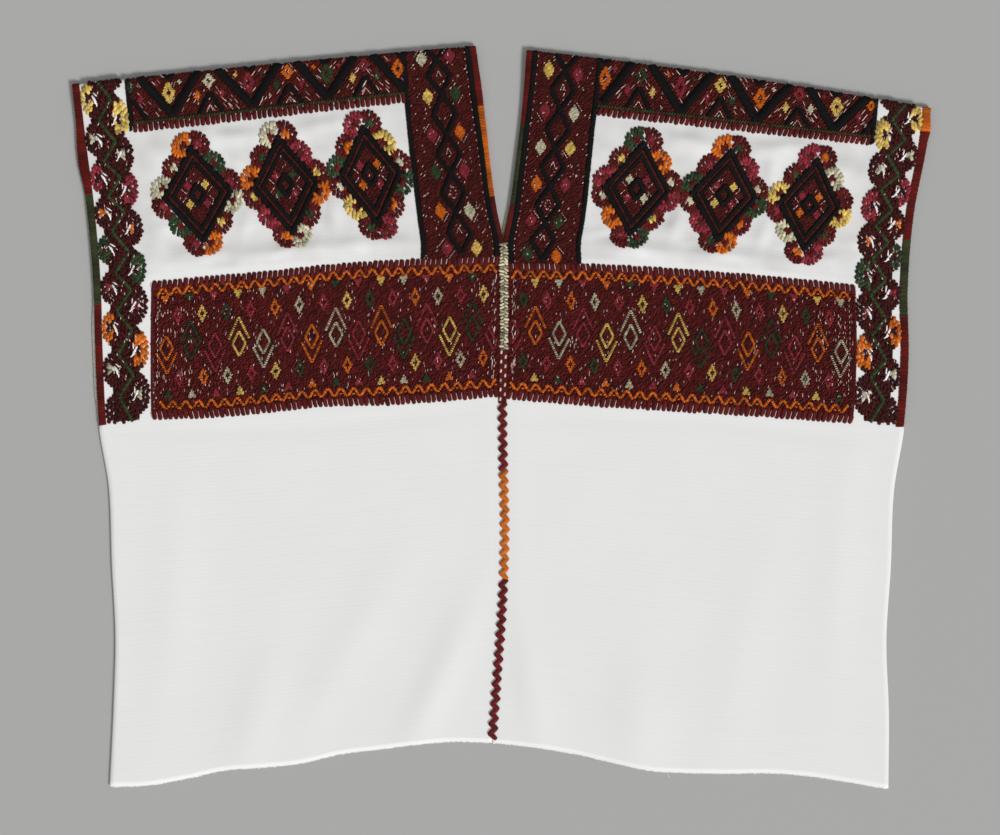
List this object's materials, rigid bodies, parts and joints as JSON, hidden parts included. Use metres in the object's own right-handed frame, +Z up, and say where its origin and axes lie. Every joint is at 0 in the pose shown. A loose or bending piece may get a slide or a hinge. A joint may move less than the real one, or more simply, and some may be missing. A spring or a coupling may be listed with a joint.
{
  "type": "huipil blouse laid flat",
  "caption": "Handwoven white blouse laid flat, with embroidered neck, shoulder, chest and armhole bands, diamond medallions and a zigzag centre seam.",
  "frame": {"origin": "centre of the underside's bounding box, on the surface that the blouse lies on", "axes": "+X towards the right of the blouse as seen from above, +Y from the hem towards the neck and shoulders, +Z up out of its front"},
  "size_m": [0.8228, 0.7114, 0.0059],
  "materials": {
    "white_cotton": "matte plain weave with fine weft ribs",
    "cream_thread": "matte cotton thread",
    "dark_red_thread": "matte cotton thread",
    "orange_thread": "matte cotton thread"
  },
  "bodies": {
    "root": {"left_panel": "white_cotton", "right_panel": "white_cotton", "join_cream": "cream_thread", "join_red_upper": "dark_red_thread", "join_orange": "orange_thread", "join_red_lower": "dark_red_thread", "join_back": "cream_thread"}
  },
  "joints": []
}
